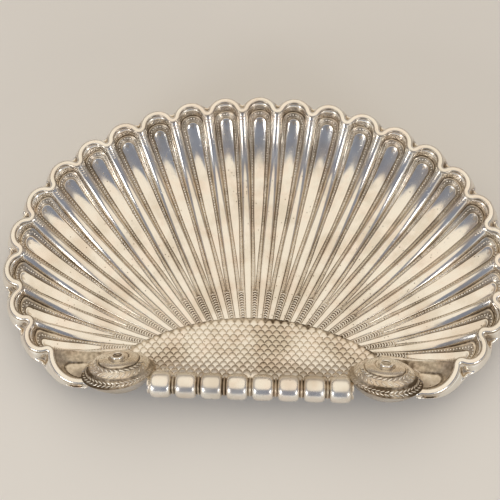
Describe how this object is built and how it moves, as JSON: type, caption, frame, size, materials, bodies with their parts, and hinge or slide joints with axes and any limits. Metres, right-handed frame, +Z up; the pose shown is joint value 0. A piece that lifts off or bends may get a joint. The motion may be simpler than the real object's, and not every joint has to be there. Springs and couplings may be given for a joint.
{
  "type": "shell dish",
  "caption": "Footed silver dish shaped as a fluted scallop shell, with a lobed turned-out rim, a gadrooned front border and a scrolled volute at each front corner.",
  "frame": {"origin": "middle of the bounding box's bottom face, on the table plane", "axes": "+X to the dish's right as seen from its gadrooned front, +Y to the back of the fan, +Z up"},
  "size_m": [0.3942, 0.2406, 0.075],
  "materials": {
    "silver_chased": "satin",
    "silver_polished": "polished"
  },
  "bodies": {
    "root": {"shell_bowl": "silver_chased", "rim_border": "silver_polished", "gadroon_border": "silver_polished", "volute_left": "silver_chased", "volute_right": "silver_chased", "volute_button_left": "silver_polished", "volute_button_right": "silver_polished", "foot_plate_left": "silver_polished", "foot_plate_right": "silver_polished", "foot_plate_back": "silver_polished", "foot_ball_left": "silver_polished", "foot_ball_right": "silver_polished", "foot_ball_back": "silver_polished"}
  },
  "joints": []
}
